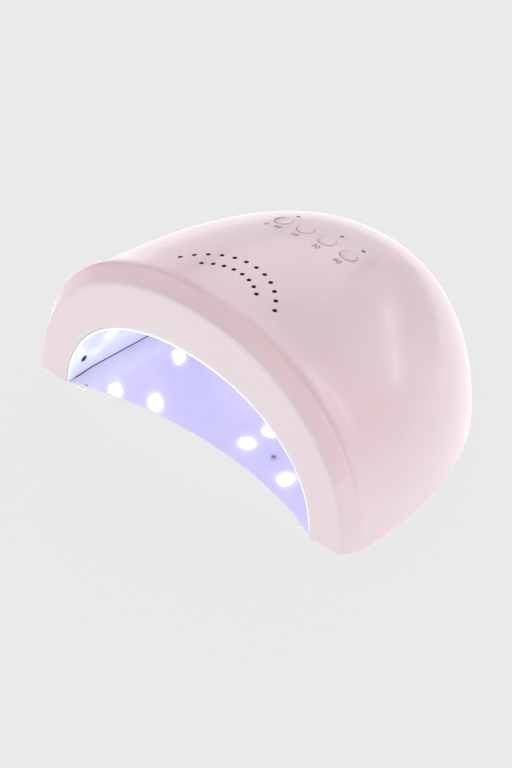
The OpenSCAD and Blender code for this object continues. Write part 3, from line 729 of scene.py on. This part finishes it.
board_green = circuit("board_green", srgb(28, 92, 52), srgb(52, 128, 70))
board_white = circuit("board_white", srgb(236, 238, 240), srgb(222, 226, 230))
can_metal = metal("can_metal", (0.60, 0.61, 0.66), 0.3)
ferrite = moulded("ferrite", srgb(58, 56, 58), 0.7, grain=3000, bump=0.4, vary=0.3)
nylon = moulded("nylon", srgb(236, 234, 222), 0.4, vary=0.06)
stem_nylon = moulded("stem_nylon", srgb(150, 120, 92), 0.45, vary=0.1)
switch_black = moulded("switch_black", srgb(30, 30, 32), 0.35, vary=0.2)
led_yellow = moulded("led_yellow", srgb(238, 226, 150), 0.3, vary=0.08)
ribbon_grey = moulded("ribbon_grey", srgb(206, 206, 210), 0.5, grain=700, bump=0.3)


# Housing

def board_frame():
    """Origin and axes of the tilted button board, in metres of the row's frame."""
    foot = BUTTON_ROW_Y - BOARD_SUNK * math.sin(BUTTON_TILT)
    origin = Vector(seated([0, foot, BOARD_LEVEL]))
    up = Vector((0, math.sin(BUTTON_TILT), math.cos(BUTTON_TILT)))
    back = Vector((0, math.cos(BUTTON_TILT), -math.sin(BUTTON_TILT)))
    return origin, up, back


BOARD_ORIGIN, BOARD_UP, BOARD_BACK = board_frame()
BUTTON_X = [BUTTON_PITCH * k for k in (-1.5, -0.5, 0.5, 1.5)]


def on_board(x, v):
    return BOARD_ORIGIN + ACROSS * (x * MM) + BOARD_BACK * (v * MM)


def vent_places():
    for radius, count, step in VENT_ARCS:
        for i in range(count):
            a = math.radians(90 + step * (i - (count - 1) / 2))
            yield radius * math.cos(a), VENT_CENTRE_Y + radius * math.sin(a)


def darken_vents(shell):
    """Paints shade on the upright walls of the vent holes, the dark of the space behind them."""
    upright, roof_from = 0.3, 0.05
    reach = (VENT_RADIUS + 0.1) * MM
    shell.data.materials.append(vent_shadow)
    vents = [Vector(seated([x, y, 0])).to_2d() for x, y in vent_places()]
    for face in shell.data.polygons:
        if abs(face.normal.z) < upright and face.center.z > roof_from:
            if min((face.center.to_2d() - v).length for v in vents) < reach:
                face.material_index = 1


def build_shell():
    f = shell_angles(150)
    outer = foot_round(shell_rows(f, 0))
    inner = shell_rows(f, SHELL_WALL)
    tips = [0, DEPTH - FOOT_ROUND, 0], [0, DEPTH - SHELL_WALL, 0]
    verts, faces = closed_skin(outer, inner, *tips)
    shell = new_object("housing_skin", seated(verts), faces, [shell_pink])
    tree = surface_tree(shell)
    up, back = Vector((0, 0, 1)), Vector((0, 1, 0))
    cutters = [hole_cutter(tree, Vector(seated([x, y, 70])), up, VENT_RADIUS, VENT_RIM, 28)
               for x, y in vent_places()]
    cutters += [hole_cutter(tree, on_board(x, 0), BOARD_UP, BUTTON_RADIUS + BUTTON_GAP, BUTTON_RIM, 64)
                for x in BUTTON_X]
    cutters += [hole_cutter(tree, on_board(BUTTON_X[i], INDICATOR_OFFSET), BOARD_UP,
                            GUIDE_RADIUS + GUIDE_GAP, GUIDE_RIM, 28) for i in INDICATOR_AT]
    jack = Vector(seated([0, DEPTH - 4, JACK_LEVEL]))
    cutters.append(hole_cutter(tree, jack, back, JACK_HOLE, JACK_RIM, 56))
    cut(shell, cutters)
    darken_vents(shell)
    dome_normals(shell)
    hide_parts("top_shell")
    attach(shell, "housing")
    return tree


SKIN = build_shell()


def above_board(x, v):
    """Height in millimetres of the roof over the board's face at x, v, along the board's normal."""
    foot = on_board(x, v)
    hit = SKIN.ray_cast(foot + BOARD_UP * BOARD_RAY_START, -BOARD_UP, RAY_REACH)[0]
    return (hit - foot).dot(BOARD_UP) / MM


# Buttons

def build_cap(i):
    """Cap with a dished top that follows the roof's slope, a skirt in the opening and a flange below."""
    x = BUTTON_X[i]
    top = above_board(x, 0)
    slope_x = above_board(x + 0.5, 0) - above_board(x - 0.5, 0)
    slope_v = above_board(x, 0.5) - above_board(x, -0.5)
    lean = Vector((-slope_x, -slope_v, 1)).normalized()
    dish = 4 * BUTTON_RADIUS ** 2 / 8 / (CAP_PROUD + CAP_DISH)
    centre = Vector((0, 0, top)) + lean * (dish - CAP_DISH)
    edge = CAP_EDGE

    def lift(u, v):
        r = min(BUTTON_RADIUS, math.hypot(u, v))
        over = min(edge, max(0.0, r - (BUTTON_RADIUS - edge)))
        bowl = centre.z - math.sqrt(dish ** 2 - (u - centre.x) ** 2 - (v - centre.y) ** 2)
        return bowl - (edge - math.sqrt(edge ** 2 - over ** 2))

    cap_rings = [BUTTON_RADIUS - edge + edge * math.sin(t) for t in np.linspace(math.pi / 2, 0, 7)]
    cap_rings += list(np.linspace(BUTTON_RADIUS - edge, CAP_CENTRE, 7))[1:]
    sides = 64
    turns = np.linspace(0, 2 * math.pi, sides, endpoint=False)
    low = top - CAP_SKIRT
    flange = BUTTON_RADIUS + FLANGE_WIDTH
    skirt = BUTTON_RADIUS + BUTTON_GAP - SKIRT_GAP
    levels = ((flange, low - FLANGE_HEIGHT), (flange, low), (skirt, low), (skirt, top - SKIRT_TOP))
    verts = [on_board(x + r * math.cos(a), r * math.sin(a)) + BOARD_UP * (h * MM)
             for r, h in levels for a in turns]
    for r in cap_rings:
        for a in turns:
            u, v = r * math.cos(a), r * math.sin(a)
            verts.append(on_board(x + u, v) + BOARD_UP * (lift(u, v) * MM))
    faces = tube_faces(len(levels) + len(cap_rings), sides)
    cap = new_object(f"key_cap_{i + 1}", verts, faces, [key_pink], 50)
    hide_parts(f"button_{i + 1}")
    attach(cap, f"key_{i + 1}")


for number in range(4):
    build_cap(number)


# Reflector

def taper(y, front, back):
    return front + (back - front) * max(0.0, y - CHAMFER_Y) / (BACK_Y - CHAMFER_Y)


SLANT = np.array([VAULT[1] - SIDE_HEIGHT, VAULT[0] - ROOF_HALF_WIDTH])
SLANT_N = SLANT / np.linalg.norm(SLANT)


def vault_gauge(c, s, y, t):
    w = taper(y, VAULT[0], BACK[0]) + t
    h = taper(y, VAULT[1], BACK[1]) + t
    o = SLANT_N[0] * VAULT[0] + SLANT_N[1] * SIDE_HEIGHT - taper(y, 0, CORNER_CUT) + t
    k = SLANT_N[0] * np.abs(c) + SLANT_N[1] * s
    n = FOLD_POWER
    return ((np.abs(c) / w) ** n + (s / h) ** n + (k / o) ** n) ** (-1 / n)


def liner_row(y, f, t, part):
    c, s = np.cos(f), np.sin(f)
    by = RIM_GAP + LINER_WALL - t
    arch = gauge(c, s, MOUTH[0] - by, MOUTH[1] - by, ARCH_POWER)
    r = arch * (1 - part) + vault_gauge(c, s, y, t) * part
    lean = max(0.0, 1 - y / VAULT_FROM_Y) * math.tan(RING_LEAN)
    return np.stack([r * c, y + r * s * lean, np.maximum(r * s, LEDGE)], -1)


def liner_rows(f, t):
    """Rows from the thin front rim to the back wall, t millimetres outside the inner face."""
    def off(y):
        return t + (RIM_THINNER * max(0.0, 1 - y / RIM_DEPTH) if t == 0 else 0)

    middle = (LINER_WALL + RIM_THINNER) / 2
    rows = []
    for a in np.radians((0, 25, 50, 70, 90)):
        y = 0.3 + (LINER_WALL - middle) * (1 - math.cos(a))
        rows.append(liner_row(y, f, middle + (off(y) - middle) * math.sin(a), 0))
    rows.append(liner_row(RIM_END_Y, f, off(RIM_END_Y), 0))
    for y in (4, 5.3, 6.6, 8, 9.5, 11, 12.5, 14):
        rows.append(liner_row(y, f, off(y), (y - RIM_END_Y) / (VAULT_FROM_Y - RIM_END_Y)))
    for y in (VAULT_FROM_Y, 22, 30, 38, 46, 54, 62, 69, CHAMFER_Y - 1, CHAMFER_Y + 1,
              82, 91.5, 99, BACK_Y - 2 + t):
        rows.append(liner_row(y, f, t, 1))
    for back, share in BACK_ROWS:
        p = liner_row(BACK_Y + back + t, f, t, 1)
        rows.append(np.stack([p[:, 0] * share, p[:, 1], LEDGE + (p[:, 2] - LEDGE) * share], -1))
    return np.stack(rows, 1)


def slant_place(side, y, u):
    """Place and inward normal on a slanted side panel, u millimetres up its slope."""
    place = [side * (VAULT[0] - SLANT_N[1] * u), y, SIDE_HEIGHT + SLANT_N[0] * u]
    return Vector(seated(place)), Vector((-side * SLANT_N[0], 0, -SLANT_N[1]))


def roof_place(x, y):
    return Vector(seated([x, y, VAULT[1]])), Vector((0, 0, -1))


def back_place(x):
    return Vector(seated([x, BACK_Y, BACK_LAMP_Z])), Vector((0, -1, 0))


def plain_cutter(place, normal, radius, rim, depth=4.0, power=2):
    """Straight hole with a small chamfer towards the inside of the tunnel."""
    profile = [(radius, -depth), (radius, -rim), (radius + rim, 0.0), (radius + rim, HOLE_TOP)]
    return lathe([(r * MM, h * MM) for r, h in profile], place, normal, bead_side(normal), 48, power)


def bead_side(normal):
    """Direction of one side of a squarish bead: along the tunnel, or across it on the back wall."""
    return (1, 0, 0) if abs(normal.y) > 0.5 else (0, 1, 0)


def lamp_places():
    """Node, place and inward normal of every lamp bead."""
    for side, node in ((-1, "lamp_beads_left"), (1, "lamp_beads_right")):
        for y, u in SIDE_LAMPS:
            yield (node, *slant_place(side, y, u))
    for p in ROOF_LAMPS:
        yield ("lamp_beads_roof", *roof_place(*p))
    for x in BACK_LAMPS:
        yield ("lamp_beads_back", *back_place(x))


def build_liner():
    liner_white = painted_glow_liner()
    f = np.linspace(0, math.pi, 181)
    tips = [0, BACK_Y + LINER_WALL + 0.5, LEDGE], [0, BACK_Y + 0.5, LEDGE]
    verts, faces = closed_skin(liner_rows(f, LINER_WALL), liner_rows(f, 0), *tips)
    liner = new_object("reflector_skin", seated(verts), faces, [liner_white], 25)
    cutters = [plain_cutter(place, normal, BEAD_WIDTH / 2 + BEAD_GAP, LINER_HOLE_RIM, power=BEAD_POWER)
               for _, place, normal in lamp_places()]
    cutters += [plain_cutter(*roof_place(*p), SCREW_HOLE, SCREW_RIM) for p in ROOF_SCREWS]
    for side in (-1, 1):
        place = Vector((side * SENSOR_PLACE.x, SENSOR_PLACE.y, SENSOR_PLACE.z))
        inwards = Vector((-side, 0, 0))
        cutters.append(plain_cutter(place, inwards, SENSOR_RADIUS, LINER_HOLE_RIM, SENSOR_DEPTH))
    cut(liner, cutters, 25)
    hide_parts("reflector_liner")
    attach(liner, "housing")


build_liner()


# Lamp beads

def build_bead(place, normal):
    """Squarish body from the board up, with a softened edge under a domed lens."""
    reach = BEAD_WIDTH * BEAD_CORNER
    dome = (reach ** 2 + BEAD_DOME ** 2) / (2 * BEAD_DOME) * MM
    half = BEAD_WIDTH / 2 * MM
    behind = BACK_BOARD_GAP if abs(normal.y) > 0.5 else 0
    low = -(LINER_WALL + LAMP_BOARD_GAP + behind + BEAD_REACH) * MM

    def drop(r):
        return dome - math.sqrt(dome ** 2 - r ** 2)

    edge = BEAD_EDGE * MM
    profile = [(half, low), (half, -edge)]
    profile += [(half - edge * (1 - math.cos(t)), -edge * (1 - math.sin(t))) for t in (0.4, 0.8, 1.2)]
    profile += [(half * k, 0) for k in (0.9, 0.78, 0.64, 0.48, 0.32, 0.16, 0.03)]
    top = place + normal * (BEAD_REACH * MM)
    return lathe(profile, top, normal, bead_side(normal), 40, BEAD_POWER, drop)


def build_beads():
    groups = {}
    for node, place, normal in lamp_places():
        groups.setdefault(node, []).append(build_bead(place, normal))
    for node, parts in groups.items():
        beads = new_object(node.replace("beads", "lenses"), *joined(parts), [bead_lens], 60)
        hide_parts(node)
        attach(beads, "housing")


build_beads()


# Floor plate

def bevelled(obj, width):
    """Rounds the sharp edges. The broad faces stay flat, so that a mirror shows no bulge."""
    mod = obj.modifiers.new("edge", "BEVEL")
    mod.width = width * MM
    mod.segments = 2
    mod.limit_method = "ANGLE"
    mod.angle_limit = math.radians(40)
    result = evaluated_mesh(obj)
    obj.modifiers.clear()
    obj.data = result
    shade(result, 35)
    for face in result.polygons:
        if len(face.vertices) > 8:
            face.use_smooth = False


def prism(outline, low, high):
    n = len(outline)
    verts = [(x, y, low) for x, y in outline] + [(x, y, high) for x, y in outline]
    faces = [tuple(reversed(range(n))), tuple(range(n, 2 * n))]
    faces += [(i, (i + 1) % n, n + (i + 1) % n, n + i) for i in range(n)]
    return verts, faces


def build_plate():
    edge = [(x + RIM_THINNER * max(0.0, 1 - y / RIM_DEPTH), y)
            for x, y, _ in liner_rows(np.array([0.0]), -PLATE_GAP)[0][5:] if x > 1]
    corner, start, notch = PLATE_FRONT
    edge.insert(0, (edge[0][0] + 0.1, corner))

    def front(k):
        """Point of the bowed front edge, from k = -1 at the left to 1 at the right."""
        bow = notch * (1 - k * k)
        turned = (start - corner) * max(0.0, abs(k) * 5 - 4) ** 1.3
        return edge[0][0] * k, start + bow - turned

    arc = [front(k) for k in np.linspace(-1, 1, 81)[1:-1]]
    outline = edge + [(-x, y) for x, y in reversed(edge)] + arc
    verts, faces = prism(outline, LEDGE, LEDGE + PLATE)
    plate = new_object("mirror_floor", seated(verts), faces, [plate_mirror, plate_edge], 30)
    bevelled(plate, PLATE_ROUND)
    for face in plate.data.polygons:
        face.material_index = 0 if face.normal.z > 0.9 else 1
    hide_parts("floor_plate")
    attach(plate, "housing")


build_plate()


# Numbers beside the buttons

def build_number(i, word, v):
    curve = bpy.data.curves.new(f"number_{i + 1}", "FONT")
    curve.body = word
    curve.size = NUMBER_SIZE * MM
    curve.offset = NUMBER_BOLD * MM
    curve.align_x = "CENTER"
    curve.align_y = "CENTER"
    curve.extrude = NUMBER_THICK * MM
    text = placed("word", curve)
    mesh = evaluated_mesh(text)
    bpy.data.objects.remove(text)
    for p in mesh.vertices:
        x, y = BUTTON_X[i] + NUMBER_SHIFT + p.co.x / MM, v + p.co.y / MM
        p.co = on_board(x, y) + BOARD_UP * ((above_board(x, y) + NUMBER_LIFT) * MM + p.co.z)
    label = object_of(f"number_{i + 1}", mesh, [print_grey])
    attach(label, "housing")


for number, word in enumerate(NUMBERS):
    build_number(number, word, NUMBER_OFFSET)


# Materials of the CAD nodes that stay

FINISHES = {
    base_white: ["base_frame"],
    magnet_steel: ["plate_magnets"],
    rubber_grey: ["rubber_feet"],
    steel: ["base_screws", "button_board_screws", "driver_screws"],
    screw_dark: ["liner_screws"],
    stem_nylon: [f"switch_plunger_{k}" for k in range(1, 5)],
    switch_black: ["tact_switches"],
    board_green: ["button_board", "driver_board"],
    board_white: ["lamp_board_left", "lamp_board_right", "lamp_board_roof", "lamp_board_back"],
    guide_smoke: ["light_guides"],
    led_yellow: ["indicator_leds"],
    sensor_dark: ["hand_sensors"],
    can_metal: ["capacitors"],
    ferrite: ["inductor"],
    nylon: ["connectors"],
    socket_black: ["dc_socket"],
    pin_gold: ["socket_pin"],
    ribbon_grey: ["button_ribbon", "lamp_ribbons"],
}
for material, names in FINISHES.items():
    for name in names:
        NODES[name].data.materials.clear()
        NODES[name].data.materials.append(material)


# Floor, lights and camera

FLOOR_COLOUR = srgb(234, 234, 234)
FLOOR_REACH = 4
FLOOR_GLOW = 0.8
SHOWN_GLOW = 0.95
SHOWN_SHARE = 0.93
WORLD_STRENGTH = 0.17
DOME_RADIUS = 1.6
AIM = Vector((0, 0, 0.04))

# Softboxes on a half dome: degrees from the front towards the right, degrees up, and watts
SOFTBOXES = (
    (330, 12, 4.3), (30, 12, 0.7), (60, 12, 4.3), (120, 12, 2.3), (150, 12, 1.8), (180, 12, 0.9),
    (210, 12, 1.4), (240, 12, 1.9),
    (36, 38, 3.6), (144, 38, 2.4), (180, 38, 2.1), (216, 38, 3.1), (252, 38, 0.4), (288, 38, 2.1),
    (0, 64, 1.2), (180, 64, 1.6), (240, 64, 2.0), (300, 64, 1.8))

# Their width by the degrees up, and their height
SOFTBOX_WIDTH = {12: 0.8, 38: 0.78, 64: 0.72}
SOFTBOX_HEIGHT = 0.72

# Tall narrow windows that show only as reflections: both ends as degrees round and up, width and watts
STRIPS = (((175.4, 35.1), (155, 29.2), 0.06, 0.6), ((155, 29.2), (146, 21), 0.06, 0.36))


def build_floor():
    """Pale floor that glows a little, and that the camera sees nearly in its own even colour."""
    r = FLOOR_REACH
    verts = [(-r, -r, 0), (r, -r, 0), (r, r, 0), (-r, r, 0)]
    s = Shader("floor_pale")
    darker = tuple(c * 0.99 for c in FLOOR_COLOUR)
    s.colour(s.blend(s.spread(s.noise(6, 2), 0, 1), FLOOR_COLOUR, darker))
    s.set(Roughness=0.9, Emission_Color=(*FLOOR_COLOUR, 1), Emission_Strength=FLOOR_GLOW)
    shown = s.add("ShaderNodeEmission", Color=(*FLOOR_COLOUR, 1), Strength=SHOWN_GLOW)
    seen = s.add("ShaderNodeLightPath").outputs["Is Camera Ray"]
    mix = s.add("ShaderNodeMixShader")
    s.link(s.times(seen, SHOWN_SHARE), mix.inputs[0])
    s.link(s.base.outputs[0], mix.inputs[1])
    s.link(shown.outputs[0], mix.inputs[2])
    s.link(mix.outputs[0], s.tree.nodes["Material Output"].inputs["Surface"])
    floor = new_object("floor", verts, [(0, 1, 2, 3)], [s.material])


def dome_place(turn, rise):
    a, e, r = math.radians(turn), math.radians(rise), DOME_RADIUS
    return Vector((r * math.sin(a) * math.cos(e), -r * math.cos(a) * math.cos(e), r * math.sin(e)))


def area_lamp(name, width, height, power):
    lamp = bpy.data.lights.new(name, "AREA")
    lamp.shape = "RECTANGLE"
    lamp.size, lamp.size_y = width, height
    lamp.energy = power
    obj = placed(name, lamp)
    obj.visible_camera = False
    return obj


def softbox(turn, rise, power):
    obj = area_lamp(f"softbox_{turn}_{rise}", SOFTBOX_WIDTH[rise], SOFTBOX_HEIGHT, power)
    obj.location = dome_place(turn, rise)
    obj.rotation_euler = (AIM - obj.location).to_track_quat("-Z", "Y").to_euler()


def strip(i, start, end, width, power):
    a, b = dome_place(*start), dome_place(*end)
    obj = area_lamp(f"strip_{i}", (b - a).length, width, power)
    along = (b - a).normalized()
    away = ((a + b) / 2).normalized()
    turned = Matrix((along, away.cross(along), away)).transposed().to_4x4()
    obj.matrix_world = Matrix.Translation((a + b) / 2) @ turned
    obj.visible_diffuse = False


def build_world():
    """Even white light, which the camera sees in the floor's colour."""
    world = bpy.data.worlds.new("studio")
    world.use_nodes = True
    nodes, links = world.node_tree.nodes, world.node_tree.links
    nodes["Background"].inputs["Color"].default_value = (1, 1, 1, 1)
    nodes["Background"].inputs["Strength"].default_value = WORLD_STRENGTH
    seen = nodes.new("ShaderNodeBackground")
    seen.inputs["Color"].default_value = (*FLOOR_COLOUR, 1)
    path = nodes.new("ShaderNodeLightPath")
    mix = nodes.new("ShaderNodeMixShader")
    links.new(path.outputs["Is Camera Ray"], mix.inputs[0])
    links.new(nodes["Background"].outputs[0], mix.inputs[1])
    links.new(seen.outputs[0], mix.inputs[2])
    links.new(mix.outputs[0], nodes["World Output"].inputs["Surface"])
    bpy.context.scene.world = world


def build_camera():
    camera = bpy.data.cameras.new("camera")
    camera.lens = CAMERA_LENS
    camera.sensor_fit = "VERTICAL"
    camera.sensor_height = CAMERA_FILM
    camera.clip_start = 0.01
    obj = placed("camera", camera)
    obj.location = CAMERA_PLACE
    obj.rotation_euler = CAMERA_TURN
    bpy.context.scene.camera = obj


build_floor()
build_world()
for box in SOFTBOXES:
    softbox(*box)
for number, ends in enumerate(STRIPS):
    strip(number, *ends)
build_camera()
bpy.context.scene.view_settings.view_transform = "Standard"
